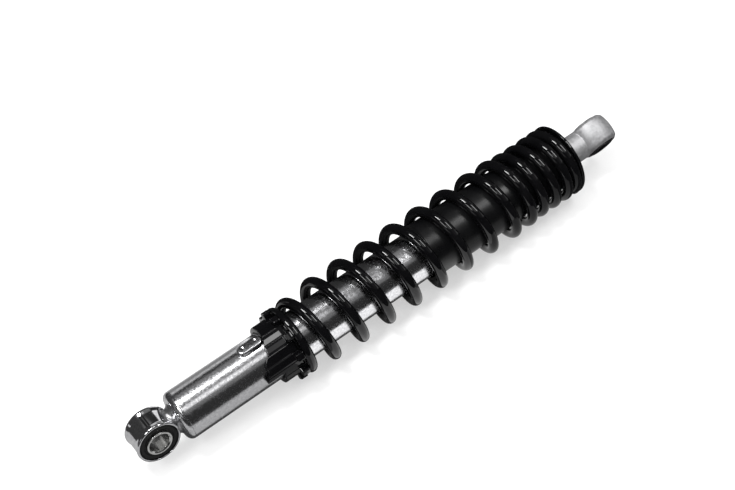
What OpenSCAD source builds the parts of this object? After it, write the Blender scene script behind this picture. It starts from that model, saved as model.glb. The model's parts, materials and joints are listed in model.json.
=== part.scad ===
// Rear shock absorber: a twin-tube oil damper inside a coil spring, with an eye at each end.
// It lies along +X. The origin is the centre of the lower eye, whose bolt runs along Y.
// All sizes are in millimetres.

/* [Overall] */
// Distance between the two bolt centres
eye_to_eye = 340; // [335:1:345]
// Travel from full extension to full compression
stroke = 65; // [55:1:65]
// Turn of the upper eye about the shock's axis, seen against the lower eye
eye_twist = 32; // [0:1:90]

/* [Eyes] */
// Radius of the lower eye at its rims
lower_eye_r = 13.8; // [13.6:0.1:14.2]
// Length of the lower eye along its bolt
lower_eye_len = 17; // [16:0.5:18]
// Radius of the upper eye at its widest
upper_eye_r = 13.5; // [13.2:0.1:14]
// Length of the upper eye along its bolt
upper_eye_len = 18.6; // [18:0.2:19]
// Radius of the bolt hole in both steel sleeves
bolt_hole_r = 6.1; // [5.1:0.1:6.5]
// Outer radius of both steel sleeves
sleeve_r = 8; // [7.6:0.1:8.2]
// How far both steel sleeves stand out of their eyes
sleeve_proud = 0.7; // [0.3:0.1:0.8]

/* [Damper] */
// Outer radius of the chromed tube
tube_r = 15.75; // [15.5:0.05:15.8]
// Wall of the chromed tube
tube_wall = 1.5; // [1.2:0.1:1.7]
// Inner radius of the working cylinder
cylinder_r = 10.25; // [9.5:0.25:10.25]
// Radius of the piston rod
rod_r = 5; // [4.5:0.25:5]

/* [Preload collar] */
// Outer radius of the collar across its corners
collar_r = 19.3; // [19:0.1:19.6]
// Radius at the tip of the spanner lugs
lug_r = 23.3; // [22:0.1:24]
// Number of spanner lugs
lug_count = 10; // [6:1:10]
// Angle between one setting and the next
setting_angle = 36; // [30:1:36]
// Height gained from one setting to the next
setting_rise = 5.5; // [3:0.5:5.5]

/* [Spring] */
// Diameter of the wire
wire_d = 6.8; // [6.4:0.1:6.8]
// Mean coil radius in the middle of the spring
coil_r = 22.6; // [22.4:0.1:23]
// Mean coil radius of the first coil, on the collar
coil_r_first = 19.7; // [19.6:0.1:20.5]
// Mean coil radius of the tight coils at the top
coil_r_top = 21.2; // [21.1:0.1:22]
// Advance per turn in the wide coils
pitch_wide = 20.3; // [20:0.1:20.4]

/* [Dust cover] */
// Outer radius of the cover's lower part
cover_r = 18.4; // [18.2:0.1:18.5]
// Outer radius of the cover inside the tight coils
cover_r_top = 17.3; // [17.2:0.1:17.4]
// Wall of the cover
cover_wall = 1.2; // [1:0.1:1.2]

/* [Hidden] */
$fn = 96;

// Cuts run this far past the faces they open
over = 1;
// Gap between faces that move past each other
run_gap = 0.3;
// Radial gap of a shaft in its bearing
fit_gap = 0.05;
// Gap between flat faces that rest on each other and turn
face_gap = 0.1;

// Eyes and their bushes
lower_bush_r = 12.4;
lower_waist_r = lower_eye_r - 0.6;
lower_rim_w = 1.6;
upper_bush_r = 10;
upper_crown = 1.1;
upper_crown_len = 15.8;
upper_rim_r = upper_bush_r + 0.5;
bush_recess = 0.5;
sleeve_chamfer = 0.8;
eye_neck_r = 8.5;
neck_flare = 2;
neck_flare_len = 4;
upper_neck_w = 19.2;
upper_neck_h = 15.2;
oval_sides = 36;

// Stations of the chromed tube, measured from the lower eye along X
cap_x = 15.5;
cap_round = 4;
cap_spigot = 4.5;
cap_floor = 4.5;
tube_x = cap_x + cap_round;
tube_bore_r = tube_r - tube_wall;
spigot_r = tube_bore_r - fit_gap;
spigot_bore_r = 12.2;

// Stations of the upper end
seat_x = eye_to_eye - 31;
seat_t = 2;
seat_r = 24.4;
nut_t = 6;
bump_len = 9.2;
tube_end = seat_x - nut_t - bump_len - run_gap - stroke;
neck_x = seat_x + seat_t + face_gap;
rod_top = neck_x + 15;

// Stations of the gland at the top of the tube, from the rolled lip downwards
lip_t = 2;
lip_r = 12.6;
washer_t = 1.5;
seal_t = 5.5;
guide_t = 6.5;
guide_spigot = 4;
seal_washer_x = tube_end - lip_t - washer_t;
seal_x = seal_washer_x - seal_t;
guide_x = seal_x - guide_t;
guide_low_x = guide_x - guide_spigot;
guide_bush_r = 6.5;

// Base valve at the bottom of the working cylinder
valve_x = cap_x + cap_floor;
valve_flange_t = 2;
valve_spigot = 6;
cylinder_wall = 1.25;
cylinder_x = valve_x + valve_flange_t;
valve_top = cylinder_x + valve_spigot;
valve_port_r = 1;
valve_port_ring = 6.5;
valve_port_count = 4;
rivet_r = 2;
rivet_head_r = 3.6;
rivet_head_t = 1.6;
base_shim_r = 8.4;
shim_t = 0.5;
shim_count = 3;

// Piston group, from the rod guide downwards, at full extension
stop_len = 8;
stop_r = 8.5;
plate_t = 1.4;
piston_len = 10;
piston_nut_t = 6;
spigot_rod_r = 3.5;
rod_shoulder = guide_low_x - run_gap - stop_len;
plate_x = rod_shoulder - plate_t;
piston_x = plate_x - piston_len;
rebound_shims_x = piston_x - shim_count * shim_t;
piston_nut_x = rebound_shims_x - piston_nut_t;
piston_gap = 0.2;
piston_port_r = 1.1;
piston_port_ring = 7;
piston_port_count = 6;
ring_w = 3;
ring_depth = 1.2;

// Cam stops on the tube and the collar's stepped lower edge
boss_x = 64;
boss_end = 80.6;
boss_w = 8;
boss_r = 18.2;
settings = 2;
cam_range = settings * setting_angle;
cam_slope = setting_rise / setting_angle;
cam_gap = 0.4;
cam_lift = 0.9;
cam_wall = cam_range + 15;
cam_dimple = 1.6;
cam_dimple_w = 12;
cam_step = 4;
cam_land_step = 15.5;
cam_wall_w = 0.5;
stop_angle = 90;

// Collar above its cam edge: narrow flats under the lugs, wide flats between them
collar_low = 69.2;
collar_top = 94.2;
collar_bore_r = tube_r + 0.35;
narrow_flat = 13;
lug_phase = 16;
lug_x = 90.3;
lug_w = 5;
ring_t = 0.8;
ring_r = collar_r + 0.5;
seat_ring_x = collar_top + face_gap;

// Spring law: the advance per turn changes in steady ramps between these turns
spring_low = seat_ring_x + ring_t + face_gap;
lug_end = spring_low - run_gap;
spring_high = seat_x - face_gap;
spring_turns = 13.6;
spring_start_angle = 4.5;
spring_start_x = 96.3;
pitch_first = 2.5;
pitch_tight = 10.4;
pitch_closed = 7.35;
ramp_first = [0.27, 1.22];
ramp_tight = [7.85, 9.62];
ramp_closed = [12.1, 12.6];
grow_first = [0.4, 2.3];
shrink_top = [8.6, 10.6];
rings_per_turn = 18;
wire_sides = 8;

// Dust cover stations
cover_low = 194.3;
cover_step = [263, 271];
cover_bead = 0.5;
cover_bead_w = 2.6;
cover_floor = 1.4;
cover_hole_r = 11.5;

// Turns a shape made along Z so that it lies along X
module along_x() {
    rotate([0, 90, 0]) children();
}

// Turns a shape made along Z so that it lies along Y
module along_y() {
    rotate([-90, 0, 0]) children();
}

// Round bar along X from one station to another
module bar(r, x0, x1) {
    along_x() translate([0, 0, x0]) cylinder(r = r, h = x1 - x0);
}

// Round ring along X from one station to another
module ring(r, bore, x0, x1) {
    difference() {
        bar(r, x0, x1);
        bar(bore, x0 - over, x1 + over);
    }
}

// Hexagon nut along X, given its size across flats
module hex_nut(flats, bore, x0, x1) {
    difference() {
        along_x() translate([0, 0, x0]) cylinder(r = flats / 2 / cos(30), h = x1 - x0, $fn = 6);
        bar(bore, x0 - over, x1 + over);
    }
}

// Ring of round ports along X
module ports(count, port_r, ring_radius, x0, x1) {
    for (i = [0:count - 1])
        rotate([i * 360 / count, 0, 0]) translate([0, ring_radius, 0]) bar(port_r, x0 - over, x1 + over);
}

// Steel sleeve along Z with a chamfered bolt hole
module sleeve(eye_len) {
    half = eye_len / 2 + sleeve_proud;
    rotate_extrude() polygon([
        [bolt_hole_r, sleeve_chamfer - half],
        [bolt_hole_r + sleeve_chamfer, -half],
        [sleeve_r, -half],
        [sleeve_r, half],
        [bolt_hole_r + sleeve_chamfer, half],
        [bolt_hole_r, half - sleeve_chamfer]
    ]);
}

// Rubber bush along Z, recessed a little in its eye
module bush(r, eye_len) {
    h = eye_len - 2 * bush_recess;
    difference() {
        cylinder(r = r, h = h, center = true);
        cylinder(r = sleeve_r + fit_gap, h = h + 2 * over, center = true);
    }
}

// Places a shape made along Z at the upper eye, along its twisted bolt axis
module at_upper_eye() {
    translate([eye_to_eye, 0, 0]) rotate([eye_twist, 0, 0]) along_y() children();
}

module lower_eye() {
    half = lower_eye_len / 2;
    waist = half - lower_rim_w;
    color("gainsboro") difference() {
        union() {
            along_y() rotate_extrude() polygon([
                [0, -half],
                [lower_eye_r - 0.4, -half],
                [lower_eye_r, -half + 0.4],
                [lower_eye_r, -waist],
                [lower_waist_r, -waist + 2],
                [lower_waist_r, waist - 2],
                [lower_eye_r, waist],
                [lower_eye_r, half - 0.4],
                [lower_eye_r - 0.4, half],
                [0, half]
            ]);
            along_x() rotate_extrude() polygon([
                [0, 0],
                [eye_neck_r, 0],
                [eye_neck_r, cap_x - neck_flare_len],
                [eye_neck_r + neck_flare, cap_x],
                [0, cap_x]
            ]);
        }
        along_y() cylinder(r = lower_bush_r, h = lower_eye_len + 2 * over, center = true);
    }
}

module lower_bush() {
    color("#161616") along_y() bush(lower_bush_r, lower_eye_len);
}

module lower_sleeve() {
    color("silver") along_y() sleeve(lower_eye_len);
}

module bottom_cap() {
    color("gainsboro") along_x() difference() {
        rotate_extrude() union() {
            translate([0, cap_x]) square([tube_r - cap_round, cap_round]);
            intersection() {
                translate([tube_r - cap_round, tube_x]) circle(r = cap_round);
                translate([tube_r - cap_round, cap_x]) square([cap_round, cap_round]);
            }
            translate([0, tube_x]) square([spigot_r, cap_spigot]);
        }
        translate([0, 0, valve_x]) cylinder(r = spigot_bore_r, h = cap_spigot + over);
    }
}

module outer_tube() {
    color("gainsboro") union() {
        ring(tube_r, tube_bore_r, tube_x, tube_end - lip_t);
        ring(tube_r, lip_r, tube_end - lip_t, tube_end);
    }
}

// Two long pads with round ends, welded to opposite sides of the tube
module cam_stops() {
    reach = boss_w / 2;
    color("gainsboro") for (side = [0, 180]) rotate([side, 0, 0]) intersection() {
        union() {
            translate([boss_x + reach, 0, 0]) cylinder(r = reach, h = boss_r + over);
            translate([boss_end - reach, 0, 0]) cylinder(r = reach, h = boss_r + over);
            translate([boss_x + reach, -reach, 0]) cube([boss_end - boss_x - boss_w, boss_w, boss_r + over]);
        }
        ring(boss_r, tube_r, boss_x - over, boss_end + over);
    }
}

// Station of the collar's lower edge at an angle past the stop, in the direction of the steps
function cam_line(a) = boss_end + cam_lift - cam_slope * a;
function cam_dip(a, centre) = cam_dimple * max(0, 1 - pow((a - centre) / cam_dimple_w, 2));
function cam_edge(a) =
    min(boss_end + cam_gap, cam_line(a)) + cam_dip(a, setting_angle) + cam_dip(a, cam_range);

cam_half = concat(
    [for (a = [cam_wall - 180:cam_land_step:0]) [a, boss_end + cam_gap]],
    [for (a = [cam_step:cam_step:cam_wall - cam_step / 2]) [a, cam_edge(a)]],
    [[cam_wall - cam_wall_w, cam_edge(cam_wall - cam_wall_w)]]
);
cam_points = concat(cam_half, [for (p = cam_half) [p[0] + 180, p[1]]]);

// Ring below the stepped edge, wide enough to cut right through the collar's wall
module cam_cutter() {
    inner = tube_r - 5;
    outer = lug_r + 5;
    base = collar_low - 5;
    n = len(cam_points);
    function at(a, r, x) = [x, r * cos(a + stop_angle), r * sin(a + stop_angle)];
    points = [for (p = cam_points) each [
        at(p[0], inner, base), at(p[0], outer, base), at(p[0], outer, p[1]), at(p[0], inner, p[1])
    ]];
    function corner(i, k) = 4 * (i % n) + k % 4;
    faces = [for (i = [0:n - 1], k = [0:3]) each [
        [corner(i, k), corner(i, k + 1), corner(i + 1, k + 1)],
        [corner(i, k), corner(i + 1, k + 1), corner(i + 1, k)]
    ]];
    polyhedron(points = points, faces = faces);
}

module preload_collar() {
    lug_angles = [for (i = [0:lug_count - 1]) lug_phase + i * 360 / lug_count];
    corner_angles = [for (a = lug_angles) each [a - narrow_flat / 2, a + narrow_flat / 2]];
    color("#1c1c1c") difference() {
        union() {
            along_x() translate([0, 0, collar_low]) linear_extrude(collar_top - collar_low)
                polygon([for (a = corner_angles) collar_r * [-sin(a), cos(a)]]);
            intersection() {
                for (a = lug_angles) rotate([a, 0, 0])
                    translate([lug_x, tube_r, -lug_w / 2]) cube([lug_end - lug_x, lug_r, lug_w]);
                bar(lug_r, lug_x, lug_end);
            }
        }
        bar(collar_bore_r, collar_low - over, lug_end + over);
        bar(ring_r + run_gap, collar_top, lug_end + over);
        cam_cutter();
    }
}

module spring_seat_ring() {
    color("#2a2a2a") ring(ring_r, collar_bore_r, seat_ring_x, seat_ring_x + ring_t);
}

// Spring centre line: station and coil radius after n turns of wire
function ramp(n, r) =
    n < r[0] ? 0 : n < r[1] ? pow(n - r[0], 2) / (2 * (r[1] - r[0])) : n - (r[0] + r[1]) / 2;
function ease(n, r) = let (t = min(1, max(0, (n - r[0]) / (r[1] - r[0])))) t * t * (3 - 2 * t);
function wire_x(n) = spring_start_x + pitch_first * n
    + (pitch_wide - pitch_first) * ramp(n, ramp_first)
    + (pitch_tight - pitch_wide) * ramp(n, ramp_tight)
    + (pitch_closed - pitch_tight) * ramp(n, ramp_closed);
function wire_r(n) = coil_r_first + (coil_r - coil_r_first) * ease(n, grow_first)
    + (coil_r_top - coil_r) * ease(n, shrink_top);
function wire_angle(n) = spring_start_angle + 360 * n;
function on_coil(n, r, x) = [x, r * cos(wire_angle(n)), r * sin(wire_angle(n))];
function wire_centre(n) = on_coil(n, wire_r(n), wire_x(n));
function ground(x) = min(spring_high, max(spring_low, x));

ring_total = ceil(spring_turns * rings_per_turn);
ring_turns = [for (i = [0:ring_total]) i * spring_turns / ring_total];
spring_gap = min([for (n = ring_turns, m = ring_turns)
    if (m > n + 0.5 && m < n + 1.5) norm(wire_centre(m) - wire_centre(n)) - wire_d]);

// One unbroken wire with both ends ground flat
module coil_spring() {
    echo(spring_least_gap = spring_gap);
    sides = wire_sides;
    last = ring_total * sides;
    points = [for (n = ring_turns, k = [0:sides - 1])
        let (a = (k + 0.5) * 360 / sides)
        on_coil(n, wire_r(n) + wire_d / 2 * cos(a), ground(wire_x(n) + wire_d / 2 * sin(a)))];
    skin = [for (i = [0:ring_total - 1], k = [0:sides - 1])
        let (a = i * sides + k, b = i * sides + (k + 1) % sides)
        each [[a, b, b + sides], [a, b + sides, a + sides]]];
    first_end = [for (k = [1:sides - 2]) [0, k + 1, k]];
    last_end = [for (k = [1:sides - 2]) [last, last + k, last + k + 1]];
    color("#111111") polyhedron(points = points, faces = concat(skin, first_end, last_end));
}

module dust_cover() {
    color("#202020") along_x() rotate_extrude() polygon([
        [cover_r - cover_wall, cover_low],
        [cover_r + cover_bead - 0.3, cover_low],
        [cover_r + cover_bead, cover_low + 0.3],
        [cover_r + cover_bead, cover_low + cover_bead_w - 0.5],
        [cover_r, cover_low + cover_bead_w],
        [cover_r, cover_step[0]],
        [cover_r_top, cover_step[1]],
        [cover_r_top, seat_x],
        [cover_hole_r, seat_x],
        [cover_hole_r, seat_x - cover_floor],
        [cover_r_top - cover_wall, seat_x - cover_floor],
        [cover_r_top - cover_wall, cover_step[1]],
        [cover_r - cover_wall, cover_step[0]]
    ]);
}

module upper_spring_seat() {
    color("#1a1a1a") along_x() rotate_extrude() polygon([
        [rod_r + run_gap, seat_x],
        [seat_r, seat_x],
        [seat_r, seat_x + seat_t - 0.5],
        [seat_r - 0.5, seat_x + seat_t],
        [rod_r + run_gap, seat_x + seat_t]
    ]);
}

// Crowned eye with bevelled ends, on an oval neck that is cut flush with them
module upper_eye() {
    half = upper_eye_len / 2;
    steps = 4;
    crown = [for (k = [-steps:steps])
        [upper_eye_r - upper_crown * pow(k / steps, 2), upper_crown_len / 2 * k / steps]];
    profile = concat([[0, -half], [upper_rim_r, -half]], crown, [[upper_rim_r, half], [0, half]]);
    oval = [for (i = [0:oval_sides - 1]) let (a = (i + 0.5) * 360 / oval_sides)
        [upper_neck_h / 2 * cos(a), max(-half, min(half, upper_neck_w / 2 * sin(a)))]];
    neck_end = eye_to_eye - upper_eye_r / 2;
    color("silver") difference() {
        union() {
            at_upper_eye() rotate_extrude() polygon(profile);
            rotate([eye_twist, 0, 0]) along_x() translate([0, 0, neck_x])
                linear_extrude(neck_end - neck_x) polygon(oval);
        }
        at_upper_eye() cylinder(r = upper_bush_r, h = upper_eye_len + 2 * over, center = true);
        bar(rod_r, neck_x - over, rod_top);
    }
}

module upper_bush() {
    color("#161616") at_upper_eye() bush(upper_bush_r, upper_eye_len);
}

module upper_sleeve() {
    color("#3a3a3a") at_upper_eye() sleeve(upper_eye_len);
}

// Chromed rod with a turned-down lower end that carries the piston
module piston_rod() {
    color("gainsboro") union() {
        bar(rod_r, rod_shoulder, rod_top);
        bar(spigot_rod_r, piston_nut_x - 2, rod_shoulder);
    }
}

module rod_lock_nut() {
    color("silver") hex_nut(17, rod_r, seat_x - nut_t, seat_x - face_gap);
}

module bump_stop() {
    color("#1b1b1b") along_x() rotate_extrude() polygon([
        [rod_r, seat_x - nut_t - bump_len],
        [8.5, seat_x - nut_t - bump_len],
        [11, seat_x - nut_t - bump_len + 4],
        [11, seat_x - nut_t],
        [rod_r, seat_x - nut_t]
    ]);
}

module rod_guide() {
    color("darkgray") difference() {
        union() {
            bar(spigot_r, guide_x, seal_x);
            bar(cylinder_r - fit_gap, guide_low_x, guide_x);
        }
        bar(guide_bush_r, guide_low_x - over, seal_x + over);
    }
}

module guide_bush() {
    color("peru") ring(guide_bush_r, rod_r + fit_gap, guide_low_x + 0.5, seal_x - 0.5);
}

module oil_seal() {
    color("#262626") ring(spigot_r, rod_r + fit_gap, seal_x, seal_washer_x);
}

module seal_washer() {
    color("silver") ring(spigot_r, rod_r + run_gap, seal_washer_x, tube_end - lip_t);
}

module inner_cylinder() {
    color("lightsteelblue") ring(cylinder_r + cylinder_wall, cylinder_r, cylinder_x, guide_x);
}

module base_valve_body() {
    color("darkgray") difference() {
        union() {
            bar(spigot_bore_r - fit_gap, valve_x, cylinder_x);
            bar(cylinder_r - fit_gap, cylinder_x, valve_top);
        }
        bar(rivet_r, valve_x - over, valve_top + over);
        bar(rivet_head_r + fit_gap, valve_x - over, valve_x + rivet_head_t);
        ports(valve_port_count, valve_port_r, valve_port_ring, valve_x, valve_top);
    }
}

module base_valve_shims() {
    color("silver") ring(base_shim_r, rivet_r, valve_top, valve_top + shim_count * shim_t);
}

module base_valve_rivet() {
    top = valve_top + shim_count * shim_t;
    color("silver") union() {
        bar(rivet_head_r, valve_x, valve_x + rivet_head_t);
        bar(rivet_r, valve_x, top + rivet_head_t);
        bar(rivet_head_r, top, top + rivet_head_t);
    }
}

module piston() {
    ring_x = piston_x + (piston_len - ring_w) / 2;
    color("darkgray") difference() {
        bar(cylinder_r - piston_gap, piston_x, plate_x);
        bar(spigot_rod_r, piston_x - over, plate_x + over);
        ring(cylinder_r + over, cylinder_r - ring_depth, ring_x, ring_x + ring_w);
        ports(piston_port_count, piston_port_r, piston_port_ring, piston_x, plate_x);
    }
}

module piston_ring() {
    ring_x = piston_x + (piston_len - ring_w) / 2;
    color("#30363a") ring(cylinder_r - fit_gap, cylinder_r - ring_depth, ring_x, ring_x + ring_w);
}

module rebound_shims() {
    color("silver") ring(base_shim_r, spigot_rod_r, rebound_shims_x, piston_x);
}

module check_plate() {
    color("silver") ring(base_shim_r, spigot_rod_r, plate_x, rod_shoulder);
}

module piston_nut() {
    color("silver") hex_nut(13, spigot_rod_r, piston_nut_x, rebound_shims_x);
}

module rebound_stop() {
    color("#2b2b2b") ring(stop_r, rod_r, rod_shoulder, rod_shoulder + stop_len);
}

lower_eye();
lower_bush();
lower_sleeve();
bottom_cap();
outer_tube();
cam_stops();
preload_collar();
spring_seat_ring();
coil_spring();
dust_cover();
upper_spring_seat();
upper_eye();
upper_bush();
upper_sleeve();
piston_rod();
rod_lock_nut();
bump_stop();
rod_guide();
guide_bush();
oil_seal();
seal_washer();
inner_cylinder();
base_valve_body();
base_valve_shims();
base_valve_rivet();
piston();
piston_ring();
rebound_shims();
check_plate();
piston_nut();
rebound_stop();
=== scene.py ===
"""Looks of a rear shock absorber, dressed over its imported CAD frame.

The shock lies along +X, the lower bolt runs along Y, and the origin is the lower eye's centre. Shapes are
worked out in millimetres in the frame's own axes, and become metres when a mesh is made.
"""
import json
import math

import bmesh
import bpy
from mathutils import Matrix, Quaternion, Vector


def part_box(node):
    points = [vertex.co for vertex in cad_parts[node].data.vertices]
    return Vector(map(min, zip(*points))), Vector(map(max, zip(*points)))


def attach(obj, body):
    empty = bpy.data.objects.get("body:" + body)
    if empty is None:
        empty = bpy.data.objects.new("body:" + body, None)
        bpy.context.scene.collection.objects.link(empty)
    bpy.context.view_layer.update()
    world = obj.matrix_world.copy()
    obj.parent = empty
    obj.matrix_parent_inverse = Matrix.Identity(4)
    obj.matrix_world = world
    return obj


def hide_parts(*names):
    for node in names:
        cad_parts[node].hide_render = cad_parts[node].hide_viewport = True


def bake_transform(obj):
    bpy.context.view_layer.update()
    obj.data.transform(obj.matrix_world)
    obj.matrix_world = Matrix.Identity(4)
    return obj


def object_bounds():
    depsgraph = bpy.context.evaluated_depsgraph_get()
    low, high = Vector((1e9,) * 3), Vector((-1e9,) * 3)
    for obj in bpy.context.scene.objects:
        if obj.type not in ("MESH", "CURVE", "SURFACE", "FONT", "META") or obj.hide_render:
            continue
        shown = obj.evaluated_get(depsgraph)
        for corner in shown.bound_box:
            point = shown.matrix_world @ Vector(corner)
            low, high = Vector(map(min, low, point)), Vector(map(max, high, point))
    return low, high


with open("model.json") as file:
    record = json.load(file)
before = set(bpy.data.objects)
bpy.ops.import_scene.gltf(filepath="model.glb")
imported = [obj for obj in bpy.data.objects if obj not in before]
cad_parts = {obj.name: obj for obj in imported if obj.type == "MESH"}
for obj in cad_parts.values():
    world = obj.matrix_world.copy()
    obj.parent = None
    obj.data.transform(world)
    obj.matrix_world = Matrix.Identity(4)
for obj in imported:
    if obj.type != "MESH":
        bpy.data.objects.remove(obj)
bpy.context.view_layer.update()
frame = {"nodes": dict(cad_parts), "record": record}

MM = 0.001


def box_mm(node):
    """Lowest and highest corner of a CAD node, in millimetres."""
    lo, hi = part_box(node)
    return lo / MM, hi / MM


def stations(node):
    """Where a CAD node starts and ends along the shock, in millimetres."""
    return [corner.x for corner in box_mm(node)]


def mount(name):
    """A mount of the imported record."""
    return next(m for m in frame["record"]["mounts"] if m["name"] == name)


# Driving sizes, read from the frame
EYE_R = -box_mm("lower_eye")[0].x
BUSH_R = box_mm("lower_bush")[1].z
SLEEVE_R = box_mm("lower_sleeve")[1].z
SLEEVE_HALF = box_mm("lower_sleeve")[1].y
BOLT_R = mount("lower_eye")["dims"]["r_mm"]
CAP_X = box_mm("bottom_cap")[0].x
TUBE_R = box_mm("outer_tube")[1].y
TUBE_X, TUBE_END = stations("outer_tube")
STOP_X, STOP_END = stations("cam_stops")
STOP_R = box_mm("cam_stops")[1].z
STOP_W = 2 * box_mm("cam_stops")[1].y
COLLAR_LOW, LUG_END = stations("preload_collar")
LUG_R = box_mm("preload_collar")[1].z
RING_X, RING_TOP = stations("spring_seat_ring")
RING_R = box_mm("spring_seat_ring")[1].y
SPRING_X, SPRING_TOP = stations("coil_spring")
COVER_X, COVER_TOP = stations("dust_cover")
COVER_BEAD_R = box_mm("dust_cover")[1].y
SEAT_X, SEAT_TOP = stations("upper_spring_seat")
SEAT_R = box_mm("upper_spring_seat")[1].y
UPPER_EYE = Vector(mount("upper_eye")["pos_m"]) / MM
UPPER_AXIS = Vector(mount("upper_eye")["axis"])
UPPER_EYE_R = box_mm("upper_eye")[1].x - UPPER_EYE.x
UPPER_BUSH_R = box_mm("upper_bush")[1].x - UPPER_EYE.x
NECK_X = box_mm("upper_eye")[0].x

# Sizes that the frame's boxes don't give, as in the part's source
FACE_GAP = 0.1
RUN_GAP = 0.3
FIT_GAP = 0.05
COLLAR_GAP = 0.35
UPPER_EYE_HALF = 9.3
UPPER_CROWN = 1.1
UPPER_CROWN_HALF = 7.9
UPPER_RIM_W = 0.5
UPPER_RIM_R = UPPER_BUSH_R + UPPER_RIM_W
NECK_HALF_W = 9.6
NECK_HALF_H = 7.6
SLEEVE_PROUD = 0.7
EYE_HALF = SLEEVE_HALF - SLEEVE_PROUD
BUSH_RECESS = 0.5
SLEEVE_CHAMFER = 0.8
WAIST_DEPTH = 0.6
RIM_W = 1.6
CAP_ROUND = 4.0
CAP_SPIGOT = 4.5
CAP_SPIGOT_BORE = 12.2
TUBE_WALL = 1.5
LIP_R = 12.6
LIP_T = 2.0
ROD_R = 5.0
ROD_HOLE_R = ROD_R + RUN_GAP
COLLAR_R = 19.3
COLLAR_BORE_R = TUBE_R + COLLAR_GAP
COLLAR_TOP = RING_X - FACE_GAP
NARROW_FLAT = 13.0
LUG_COUNT = 10
LUG_PHASE = 16.0
LUG_X = 90.3
LUG_W = 5.0
LUG_ROOT = RING_R + RUN_GAP
COVER_R = 18.4
COVER_R_TOP = 17.3
COVER_WALL = 1.2
COVER_STEP = (263.0, 271.0)
COVER_BEAD_W = 2.6
COVER_FLOOR = 1.4
COVER_HOLE_R = 11.5

# The slight crown of the collar's flats, and the grooves beside their edges
FLAT_CROWN = 0.4
CROWN_ROOM = 0.05
GROOVE_DEPTH = 0.28
GROOVE_HALF = 1.5
GROOVE_OFF = 2.2

# The three ways a turned shape lies: local Z runs along the shock, the lower bolt or the upper bolt
ALONG_X = Matrix(((0, 0, 1, 0), (1, 0, 0, 0), (0, 1, 0, 0), (0, 0, 0, 1)))
ALONG_Y = Matrix(((1, 0, 0, 0), (0, 0, 1, 0), (0, -1, 0, 0), (0, 0, 0, 1)))
UPPER_SIDE = Vector((1, 0, 0)).cross(-UPPER_AXIS)
ALONG_UPPER_BOLT = Matrix.Translation(UPPER_EYE) @ Matrix((
    (1, 0, 0, 0),
    (0, UPPER_SIDE.y, -UPPER_AXIS.y, 0),
    (0, UPPER_SIDE.z, -UPPER_AXIS.z, 0),
    (0, 0, 0, 1),
))

# How finely the meshes are made
COLUMNS = 144
MERGE_DISTANCE = 0.002
ARC_STEP = math.radians(15)
SHARP_ANGLE = math.radians(38)
LONG_SPAN = 2.0
BRACE = 0.3


# Shape helpers

def arc(centre, radius, start, stop, count):
    """Points on a circle from one angle to another, in radians."""
    angles = [start + (stop - start) * k / count for k in range(count + 1)]
    return [Vector((centre[0] + radius * math.cos(a), centre[1] + radius * math.sin(a))) for a in angles]


def rounded(corners):
    """Closed path through (u, v, radius) corners, with an arc in place of each corner that has a radius."""
    path = []
    for i, (u, v, radius) in enumerate(corners):
        here = Vector((u, v))
        if radius == 0:
            path.append(here)
            continue
        back = (Vector(corners[i - 1][:2]) - here).normalized()
        ahead = (Vector(corners[(i + 1) % len(corners)][:2]) - here).normalized()
        half = back.angle(ahead) / 2
        centre = here + (back + ahead).normalized() * radius / math.sin(half)
        first = here + back * radius / math.tan(half) - centre
        last = here + ahead * radius / math.tan(half) - centre
        start = math.atan2(first.y, first.x)
        turn = math.atan2(first.x * last.y - first.y * last.x, first.dot(last))
        path += arc(centre, radius, start, start + turn, max(2, math.ceil(abs(turn) / ARC_STEP)))
    return path


def mirrored(corners):
    """The (radius, height, bend) corners of an outline's lower half, and then their mirror images above."""
    return corners + [(r, -z, bend) for r, z, bend in reversed(corners)]


def braced(path):
    """The closed path with a point close to each end of its long spans, which keeps their shading true."""
    result = []
    for here, ahead in zip(path, path[1:] + path[:1]):
        span = ahead - here
        result.append(here)
        if span.length > LONG_SPAN:
            close = span.normalized() * BRACE
            result += [here + close, ahead - close]
    return result


def band_faces(rows, columns, wrap_rows):
    """Quads of a grid whose columns close on themselves, and whose rows may."""
    faces = []
    for i in range(rows if wrap_rows else rows - 1):
        for j in range(columns):
            k = (j + 1) % columns
            above = (i + 1) % rows
            faces.append((i * columns + j, i * columns + k, above * columns + k, above * columns + j))
    return faces


def make_mesh(name, points, faces):
    """Clean closed mesh in metres, smooth apart from its real edges."""
    mesh = bpy.data.meshes.new(name)
    mesh.from_pydata([Vector(p) * MM for p in points], [], faces)
    work = bmesh.new()
    work.from_mesh(mesh)
    bmesh.ops.remove_doubles(work, verts=work.verts, dist=MERGE_DISTANCE * MM)
    bmesh.ops.delete(work, geom=[e for e in work.edges if not e.link_faces], context="EDGES")
    bmesh.ops.delete(work, geom=[v for v in work.verts if not v.link_faces], context="VERTS")
    bmesh.ops.recalc_face_normals(work, faces=work.faces)
    work.to_mesh(mesh)
    work.free()
    mesh.shade_smooth()
    mesh.set_sharp_from_angle(angle=SHARP_ANGLE)
    return mesh


def new_piece(name, points, faces, slot, replaced):
    """Object with the finish of a material slot, standing for the CAD nodes that it replaces."""
    piece = bpy.data.objects.new(name, make_mesh(name, points, faces))
    bpy.context.scene.collection.objects.link(piece)
    piece.data.materials.append(FINISHES[slot])
    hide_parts(*replaced)
    return piece


def grid_piece(name, rows, slot, body, *replaced):
    """Piece made of rings of points, closed on itself in both directions."""
    points = [p for row in rows for p in row]
    faces = band_faces(len(rows), len(rows[0]), wrap_rows=True)
    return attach(new_piece(name, points, faces, slot, replaced), body)


def lathe(name, path, turn, slot, body, *replaced):
    """Piece turned from a closed path of (radius, station) points."""
    angles = [2 * math.pi * j / COLUMNS for j in range(COLUMNS)]
    rows = [[turn @ Vector((r * math.cos(a), r * math.sin(a), z)) for a in angles] for r, z in braced(path)]
    return grid_piece(name, rows, slot, body, *replaced)


# Finishes

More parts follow.
